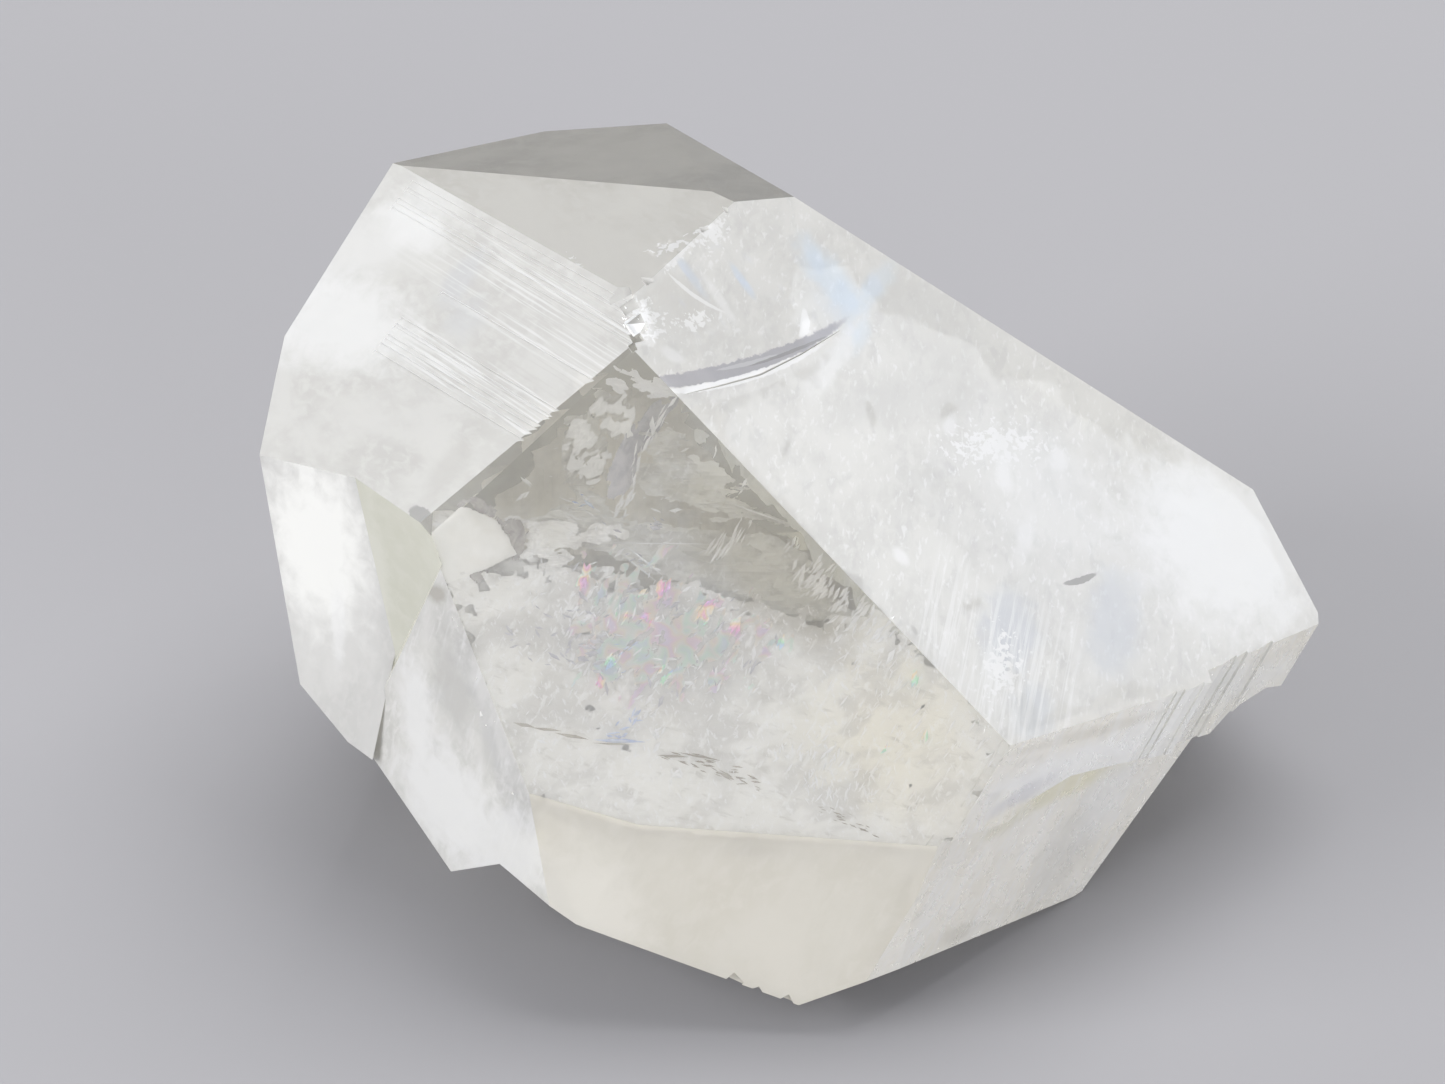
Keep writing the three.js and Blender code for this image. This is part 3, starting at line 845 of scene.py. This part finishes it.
FLAKES = [
    [(-6.9, 31.9), (-5.6, 31.5), (-5.4, 31.2), (-6.6, 31.5)],
    [(-7.3, 31.3), (-6.8, 31.5), (-7, 30.9), (-7.4, 31)],
    [(-6.8, 31.1), (-6.2, 31), (-6, 30.5), (-6.6, 30.2), (-6.9, 30.5)],
    [
        (-6.1, 31.3), (-4.5, 31.1), (-3.3, 31.3), (-2.5, 30.3), (-3.2, 30.2), (-3.6, 29.9), (-4.4, 30.1),
        (-5.2, 30.5),
    ],
]
veil(
    "tip_flakes", "front", FLAKES, WHITE, depth=0.35, relief=0.08, cell=0.08, cover=0.75, ragged=0.25,
    grain=0.5, seed=4.2, turn=-20, stretch=2,
)

# The feather: a ribbed grey fracture with a bright edge, and the glint at its foot
FEATHER = [
    (-3, 30), (-3.7, 29.2), (-4.6, 27.7), (-5.3, 26.4), (-5.6, 25.2), (-5.9, 24.3), (-6.9, 23.4),
    (-7.3, 24), (-7, 25.2), (-6.5, 26.5), (-5.7, 28), (-4.7, 29.3), (-3.9, 29.9),
]
veil(
    "feather", "front", [FEATHER], ASH, depth=0.7, relief=0.1, cell=0.1, cover=1, ragged=0.3, grain=0.8,
    seed=6.6, turn=60, stretch=3, lean=(0.7, 0),
)
EDGE_LINE = [
    (-2.9, 30.2), (-3.6, 29.4), (-4.5, 27.8), (-5.2, 26.5), (-5.5, 25.3), (-5.7, 24.3), (-6.2, 23.2),
]
edge_marks = [(start, end, 0.26, 0.15) for start, end in zip(EDGE_LINE, EDGE_LINE[1:])]
feather_edge = strokes("front", *edge_marks)
feather_edge += comb(
    "front", (-3.9, 29.2), (-6.2, 24.2), 26, seed=41, depth=(0.2, 0.5), length=(0.5, 1.3),
    slim=(0.08, 0.16), turn=68, spread=8,
)
feather_edge += comb(
    "front", (-5.9, 24), (-6.6, 22.8), 14, seed=42, depth=(0.12, 0.2), length=(0.6, 1.4),
    slim=(0.14, 0.28), turn=62, spread=10,
)
feather_edge += strokes("front", ((-4.5, 28.9), (-4.5, 27.6), 0.42, 0.15))

# The bright window at the left corner, with dark gaps and a white patch beside it
WINDOW = [
    (-17.1, 23.2), (-15.9, 23), (-14.2, 22.2), (-13.5, 21.2), (-13, 20.1), (-15.2, 19.1), (-17.2, 18.3),
    (-18, 20), (-18.6, 21.5),
]
veil(
    "window", "front", [WINDOW], CREAM, depth=0.2, relief=0.03, cell=0.2, cover=1.4, ragged=0.2, grain=5,
    seed=2.2,
)
GAPS = [
    [(-17, 23.5), (-15.9, 23.5), (-14.8, 23), (-14.2, 22.4), (-15.1, 22.5), (-15.9, 23), (-16.9, 23.2)],
    [
        (-17.4, 18.4), (-16.7, 18.7), (-15.6, 18.9), (-14.6, 19.1), (-14.7, 18.7), (-15.8, 18.4),
        (-17.2, 18.1),
    ],
    [(-14.1, 22.2), (-12.6, 21.9), (-12.2, 21.4), (-12.7, 20.3), (-13, 19.9), (-13.4, 21)],
]
veil(
    "window_gaps", "front", GAPS, BROWN, depth=0.3, relief=0.05, cell=0.1, cover=0.7, ragged=0.3,
    grain=0.7, seed=5.2,
)
PATCH = [
    [
        (-13.6, 22.2), (-12.1, 22.1), (-10.2, 22.3), (-8.6, 21.9), (-6.5, 22), (-6, 21.3), (-8.6, 21),
        (-9.2, 20.5), (-10.6, 20.1), (-12.1, 19.7), (-12.9, 20.1), (-12.4, 21), (-12.1, 21.6),
    ],
    [(-12.1, 19.1), (-10.6, 19.7), (-9.6, 19.8), (-9.8, 18.9), (-11.2, 17.8), (-12.3, 18)],
]
veil(
    "window_patch", "front", PATCH, FLAWED, depth=0.4, relief=0.12, cell=0.1, cover=0.55, ragged=0.4,
    grain=0.6, seed=14.2, turn=-5, stretch=2.5,
)

# Interference colours in the middle
RAINBOW = [
    (-9.6, 19.8), (-6, 20.6), (-2, 18.8), (2, 17.2), (4.4, 14.5), (1, 12), (-3, 10.6), (-8, 10.6),
    (-10, 14),
]
veil(
    "iris_film", "front", [RAINBOW], IRIS_FILM, depth=0.13, relief=0, cell=0.14, cover=-0.15, ragged=2.5,
    grain=0.8, seed=3.9, turn=60, stretch=2.2,
)
HUES = [
    (-8.5, 18.9, 0.3, 10), (-8.8, 18.3, 0.2, 6), (-3.8, 18.1, 0.5, 9), (-5, 17.7, 0.3, 3),
    (-1.2, 16.6, 0.45, 14), (-0.7, 16.9, 0.3, 6), (0.9, 15.8, 0.5, 8), (-6.9, 13.4, 0.3, 8),
    (-7.5, 11.8, 0.4, 6), (-3.4, 12.6, 0.5, 7), (-4.3, 16, 0.5, 4), (-6, 16.4, 0.7, 3),
    (3.6, 14.9, 0.5, 2), (12.2, 12.7, 0.25, 3), (12.8, 9, 0.2, 2), (10.3, 8.2, 0.2, 2),
]
iris = cluster(
    "front", HUES, seed=21, depth=(0.11, 0.15), length=(0.6, 1.6), slim=(0.25, 0.45), turn=62, spread=14,
)
slivers("iris_glints", iris, IRIS)

# Under the milky face
BRIGHT = [(14, 8), (22, 10), (28, -2), (33.5, -8), (30, -15.4), (22, -13), (16, -9), (13, 0)]
veil(
    "milk_right", "milky", [BRIGHT], MILK, depth=1.2, relief=0.3, cell=0.3, cover=1.3, ragged=3,
    grain=2.6, seed=7.7, turn=30, stretch=1.6,
)
MILK_SHEET = [(4.5, 21.5), (14, 18.5), (22, 25.5), (33, -6), (20, -12), (4, -6), (4, 4)]
veil(
    "milk_wide", "milky", [MILK_SHEET], PALE, depth=2.4, relief=0.8, cell=0.4, cover=0.35, ragged=1.5,
    grain=3.2, seed=2.9, turn=30, stretch=1.5,
)
LIP = [
    (3.8, 23.2), (6.8, 21.8), (9.7, 20.75), (11.6, 20.15), (13.6, 19.75), (16, 19.6), (13.4, 20.15),
    (11.3, 20.7), (9.6, 21.3), (6.8, 22.4), (4.2, 23.55),
]
CRACK_CHIP = [(15.3, 21.3), (16.2, 21.5), (16.6, 20.9), (15.8, 20.3), (14.6, 20.9)]
veil(
    "crack_lip", "milky", [LIP, CRACK_CHIP], WHITE, depth=0.14, relief=0.03, cell=0.1, cover=1.2,
    ragged=0.12, grain=1.2, seed=3.1,
)
BLUE = [
    [(20.6, 25), (22, 24.6), (20.6, 21.5), (19.6, 17.8), (18.2, 18.6), (18.6, 21.6)],
    [(20.4, 20.6), (24, 20.8), (24.8, 20), (20.6, 19.2)],
]
veil(
    "milk_blue", "milky", BLUE, SKY, depth=0.4, relief=0.15, cell=0.2, cover=0.2, ragged=1.2, grain=1.3,
    seed=8.8, turn=70, stretch=1.5,
)
LEFT_CHIPS = [[(4, 28.6), (5.4, 30.4), (6.6, 30), (6.2, 28), (5, 26.9), (3.9, 27.4)]]
veil(
    "corner_flakes", "milky", LEFT_CHIPS, WHITE, depth=0.14, relief=0.03, cell=0.1, cover=0.35,
    ragged=0.4, grain=0.5, seed=3.6,
)

# Under the foot
FOOT_SHEET = [(-11, 8.2), (-4.7, 7), (13.4, 6.3), (14, 5), (10, -4), (4, -6), (-4, -3), (-8.6, 1.4)]
veil(
    "foot_cream", "foot", [FOOT_SHEET], CREAM, depth=0.9, relief=0.1, cell=0.5, cover=2.2, ragged=0.4,
    grain=6, seed=3.8,
)

# Under the broken end, below the overhang and above it
LOWER_SHEET = [(-3.6, 3.4), (2.4, 11.4), (8, 11.4), (24, 7.4), (24, 5.4), (16, -1.4), (6, 0.4)]
veil(
    "break_haze", "break_lower", [LOWER_SHEET], BREAK_CREAM, depth=0.6, relief=0.15, cell=0.35, cover=1.6,
    ragged=0.8, grain=3, seed=6.1, turn=40, stretch=2,
)
UPPER_SHEET = [(8, 16), (32, 10.5), (34, 8), (22, 8.4), (8, 11.6), (4, 12)]
veil(
    "strip_haze", "break_upper", [UPPER_SHEET], BREAK_CREAM, depth=0.5, relief=0.1, cell=0.25, cover=1.2,
    ragged=0.6, grain=1.6, seed=9.9, turn=40, stretch=2,
)

# Small cleavage slivers: dark first
dashes = strokes(
    "front",
    ((-13, 9.5), (-11.6, 9.2), 0.26, 0.14),
    ((-11.9, 9.2), (-9.9, 9), 0.2, 0.14),
    ((-10.4, 8.9), (-8.2, 8.5), 0.24, 0.14),
    ((-8, 8.3), (-5.4, 8.2), 0.14, 0.12),
    ((-3.9, 7.6), (-1.9, 7.5), 0.2, 0.12),
    ((-2.6, 7.8), (0.2, 7.3), 0.16, 0.12),
    ((0, 6.6), (1, 6.1), 0.24, 0.12),
)
ROW = [(-3.9, 7.9), (-2, 8), (0.4, 7.6), (3, 6.2), (2.9, 5.1), (0.5, 5.7), (-2, 6.6), (-3.8, 7)]
dashes += scatter(
    "front", ROW, 40, seed=11, length=(0.5, 1.2), slim=(0.1, 0.2), turn=-18, spread=8, bias=0.5,
    grain=1.5,
)
LOW_ROW = [(5.6, 5), (8.2, 4.4), (10.4, 2.9), (10.3, 2.3), (8.2, 2.9), (6.2, 3.9)]
dashes += scatter(
    "front", LOW_ROW, 20, seed=12, length=(0.3, 0.9), slim=(0.12, 0.24), turn=-20, spread=8, bias=0.5,
    grain=1.5,
)
WIDE = [(-16, 20), (-10, 14), (-9, 8), (4, 5), (8, 4), (12, 9), (4, 12), (-8, 16), (-13, 20)]
dashes += scatter(
    "front", WIDE, 40, seed=13, depth=(0.4, 1.2), length=(0.3, 0.9), slim=(0.08, 0.18), turn=-15,
    spread=20,
)
dashes += cluster(
    "milky", [(2.6, 19.8, 0.3, 2), (7.6, 21, 0.2, 1)], seed=17, depth=(0.15, 0.25), length=(0.3, 0.5),
    slim=(0.3, 0.5), turn=20,
)
dashes += comb(
    "break_upper", (9, 15.5), (22, 12.7), 30, seed=18, depth=(0.12, 0.3), length=(0.3, 0.9),
    slim=(0.12, 0.3), turn=-14, spread=14,
)
slivers("umber_dashes", dashes, UMBER)

dim = cluster(
    "front", [(-4.2, 22.3, 0.5, 8), (-6.9, 21.6, 0.5, 7), (-5.2, 19.8, 0.4, 5)], seed=43,
    depth=(0.4, 0.8), length=(0.4, 0.9), slim=(0.3, 0.5), turn=-15, spread=20,
)
dim += scatter(
    "front", RAINBOW, 70, seed=44, length=(0.4, 1.3), slim=(0.2, 0.4), turn=50, spread=35, bias=0.3,
    grain=1.5,
)
dim += scatter(
    "front", [(-14, 17), (-8, 17), (-7, 13), (-13, 12)], 30, seed=45, length=(0.4, 1.3), slim=(0.2, 0.4),
    turn=-10, spread=30, grain=1.5,
)
dim += scatter(
    "flank", [(-13, 20), (-10, 20), (-5, 8), (-12, 6)], 16, seed=47, depth=(0.4, 1.2), length=(0.5, 1.6),
    slim=(0.3, 0.6), turn=75, spread=15,
)
dim += comb(
    "break_upper", (4, 12.6), (12, 12.4), 30, seed=48, depth=(0.15, 0.5), length=(0.6, 1.6),
    slim=(0.1, 0.25), turn=20, spread=12, jitter=0.5,
)
dim += scatter(
    "milky", [(4, 1), (14, 1), (20, -6), (12, -9), (5, -7)], 40, seed=49, depth=(0.2, 0.8),
    length=(0.5, 1.5), slim=(0.2, 0.45), turn=28, spread=18,
)
slivers("grey_slivers", dim, ASH)

blue = strokes("front", ((-8, 8.5), (-4.6, 8.4), 0.3, 0.13))
blue += cluster(
    "front", [(-6.4, 8.9, 0.7, 9), (-5.2, 10, 0.7, 6), (-6.2, 14, 1, 7), (-8.4, 23.2, 0.7, 4)], seed=14,
    length=(0.4, 1), slim=(0.2, 0.4), turn=20,
)
blue += scatter(
    "milky", [(6, 29), (12, 31), (20, 26), (18, 20), (8, 24)], 26, seed=15, depth=(0.15, 0.5),
    length=(0.5, 1.5), slim=(0.15, 0.35), turn=95, spread=20, bias=0.2,
)
blue += strokes("milky", ((11.6, 30), (11.2, 28), 0.25, 0.2), ((14.3, 27), (14.6, 25), 0.25, 0.2))
slivers("azure_glints", blue, AZURE)

white = feather_edge + strokes(
    "front",
    ((-6.3, 20.9), (-3.5, 18.7), 0.16, 0.4),
    ((-6.7, 20.5), (-4, 18.4), 0.14, 0.4),
    ((0.2, 23.6), (3.9, 22.3), 0.14, 0.3),
    ((-8, 20.9), (0.6, 20.9), 0.08, 0.3),
)
white += comb(
    "front", (-0.5, 20.6), (1.2, 21.6), 20, seed=51, depth=(0.13, 0.3), length=(0.9, 2.2),
    slim=(0.08, 0.13), turn=61, spread=5, jitter=0.25,
)
# White slivers below the haze belt: painted glints among the dark gaps there.
white += comb(
    "front", (4.5, 19.2), (6.4, 18), 30, seed=52, length=(0.6, 1.4), slim=(0.2, 0.36), turn=52, spread=12,
    jitter=0.35,
)
white += comb(
    "front", (5.4, 19.6), (10.2, 15.2), 70, seed=53, length=(0.6, 1.5), slim=(0.2, 0.36), turn=50,
    spread=10, jitter=0.7,
)
white += cluster(
    "front", [(-4.3, 10.2, 0.6, 14), (-3.9, 9, 0.5, 10), (9.4, 5.3, 0.3, 6), (-2.8, 6.3, 0.4, 6)],
    seed=54, length=(0.3, 1), slim=(0.2, 0.45), turn=60, spread=35,
)
GROUP = [(2.8, 8.6), (6, 9.6), (10.6, 6.5), (10.4, 4.4), (6.8, 4.5), (3.3, 6.4)]
white += scatter(
    "front", GROUP, 90, seed=55, length=(0.4, 1.1), slim=(0.1, 0.3), turn=66, spread=22, bias=0.2,
    grain=1.5,
)
SPRAY = [(6, 14), (9.5, 15), (18, 8.6), (16, 3), (12, 4), (8, 8)]
white += scatter(
    "front", SPRAY, 120, seed=67, length=(0.4, 1.4), slim=(0.06, 0.2), turn=58, spread=14, bias=0.2,
    grain=1.5,
)
white += scatter(
    "front", [(-14, 18), (-8, 18), (4, 11), (2, 6), (-12, 8)], 110, seed=68, length=(0.3, 1),
    slim=(0.1, 0.3), turn=60, spread=35,
)
white += comb(
    "front", (15, 3), (16.4, 6.6), 12, seed=56, depth=(0.2, 0.4), length=(0.6, 1.6), slim=(0.1, 0.25),
    turn=62, spread=12, jitter=0.3,
)
white += comb(
    "front", (9.6, 14.6), (13.6, 9), 24, seed=57, depth=(0.3, 0.8), length=(0.4, 1.4), slim=(0.1, 0.25),
    turn=45, spread=25, jitter=0.8,
)
white += scatter(
    "front", RAINBOW, 120, seed=31, length=(0.4, 1.2), slim=(0.15, 0.35), turn=56, spread=30, bias=0.2,
    grain=2,
)
white += scatter(
    "front", DEEP, 300, seed=32, depth=(0.3, 1.6), length=(0.3, 1.1), slim=(0.12, 0.35), turn=40,
    spread=40, grain=2,
)
white += scatter(
    "front", [(-16, 22), (-9, 24.5), (-6, 22.6), (-12, 21)], 30, seed=58, depth=(0.25, 0.6),
    length=(0.5, 1.6), slim=(0.06, 0.16), turn=-14, spread=12,
)
white += scatter(
    "milky", MILK_SHEET, 300, seed=34, depth=(0.11, 0.4), length=(0.4, 1.3), slim=(0.15, 0.4), turn=30,
    spread=25,
)
white += comb(
    "milky", (2.5, -3), (14, -8.6), 60, seed=59, depth=(0.15, 0.4), length=(0.8, 3.6), slim=(0.03, 0.07),
    turn=25, spread=6, jitter=0.9,
)
white += comb(
    "milky", (4, 2), (11, -3), 30, seed=60, depth=(0.15, 0.4), length=(0.6, 2.4), slim=(0.04, 0.1),
    turn=30, spread=14, jitter=0.9,
)
white += strokes(
    "milky",
    ((3.3, 1.9), (12.6, -0.8), 0.16, 0.12),
    ((18.4, -3.4), (23.4, -4.6), 0.14, 0.12),
    ((3.4, 0.6), (9, 3.2), 0.12, 0.12),
    ((15.6, 21.2), (16.9, 22), 0.16, 0.12),
)
white += comb(
    "milky", (13.6, 18.6), (20, 18.4), 14, seed=61, depth=(0.15, 0.3), length=(0.5, 1.5),
    slim=(0.1, 0.25), turn=75, spread=12, jitter=0.4,
)
white += cluster(
    "milky", [(9, 17.5, 0.5, 8), (5, 16.4, 0.8, 8), (6.8, 14.4, 0.8, 8), (7.5, 6.5, 0.4, 6)], seed=62,
    depth=(0.11, 0.2), length=(0.4, 1.2), slim=(0.2, 0.4), turn=60, spread=20,
)
EDGE_CHIPS = [(4.6, 28.4), (6.2, 30.6), (7.2, 30.2), (6.2, 27.4), (4.6, 26.8)]
white += scatter(
    "milky", EDGE_CHIPS, 80, seed=35, depth=(0.1, 0.3), length=(0.3, 0.9), slim=(0.25, 0.6), turn=-40,
    spread=50, bias=0.6, grain=1,
)
white += comb(
    "milky", (7, 30.3), (17.4, 30.3), 44, seed=36, depth=(0.1, 0.3), length=(0.3, 0.8), slim=(0.25, 0.6),
    turn=-20, spread=50, jitter=0.3,
)
white += comb(
    "striated", (-19.9, 20), (-17.6, 20), 18, seed=63, depth=(0.1, 0.25), length=(0.3, 0.8),
    slim=(0.25, 0.6), turn=-30, spread=50,
)
white += cluster(
    "top", [(-13, -8.4, 0.5, 12), (-11.7, -8.8, 0.3, 4), (-13.4, -6.4, 0.5, 8)], seed=64,
    depth=(0.1, 0.25), length=(0.3, 0.8), slim=(0.3, 0.6), turn=20, spread=60,
)
white += comb(
    "break_upper", (5, 13.2), (14, 12.2), 30, seed=65, depth=(0.15, 0.4), length=(0.5, 1.6),
    slim=(0.05, 0.14), turn=30, spread=20, jitter=0.5,
)
# A white sliver painted as a glint on the strip of the broken end.
white += strokes("break_upper", ((13, 11.2), (14, 12.3), 0.3, 0.2))
white += scatter(
    "flank", [(-12, 18), (-8, 14), (-2, 6), (-6, 4), (-12, 8)], 40, seed=66, depth=(0.2, 0.9),
    length=(0.5, 1.6), slim=(0.15, 0.3), turn=75, spread=15,
)
# White cleavage flakes; some of them are painted glints.
slivers("white_flecks_and_glints", white, WHITE)

# ---- Stage ----

bpy.ops.mesh.primitive_plane_add(size=3, location=(0, 0, -0.00006))
floor = bpy.context.object
floor.name = "floor"
floor_paint = Paint("floor_paint").finish((0.3, 0.297, 0.31, 1), 0.8, 1.45, 0)
floor.data.materials.append(floor_paint)

scene.view_settings.view_transform = "Standard"
scene.cycles.diffuse_bounces = 6
scene.cycles.glossy_bounces = 8
scene.cycles.max_bounces = 12
scene.cycles.sample_clamp_indirect = 2.0

world = bpy.data.worlds.new("studio")
scene.world = world
world.use_nodes = True
sky = world.node_tree.nodes["Background"].inputs
sky["Color"].default_value = (0.84, 0.85, 0.88, 1)
sky["Strength"].default_value = 0.6


MIDDLE = Vector((0, 0, 0.02))


def softbox(name, place, size, power):
    light = bpy.data.lights.new(name, "AREA")
    light.shape = "RECTANGLE"
    light.size, light.size_y = size
    light.energy = power
    item = bpy.data.objects.new(name, light)
    scene.collection.objects.link(item)
    item.location = place
    item.rotation_euler = (MIDDLE - Vector(place)).to_track_quat("-Z", "Y").to_euler()
    # A flat face would mirror the lamp and go blank, so it mirrors only the even sky.
    item.visible_glossy = False


softbox("over", (0.15, 0.3, 0.6), (0.6, 0.5), 5)
softbox("left", (-0.6, -0.15, 0.3), (0.4, 0.4), 4)
softbox("fill", (0.4, -0.6, 0.2), (0.5, 0.4), 2.6)

camera_data = bpy.data.cameras.new("camera")
camera = bpy.data.objects.new("camera", camera_data)
scene.collection.objects.link(camera)
camera_data.lens = 120
camera_data.sensor_width = 36
camera_data.sensor_fit = "HORIZONTAL"
camera_data.clip_start = 0.01
camera.location = (Vector((0, -238, 212.14)) + SHIFT) * MM
camera.rotation_euler = (math.radians(52), 0, 0)
scene.camera = camera
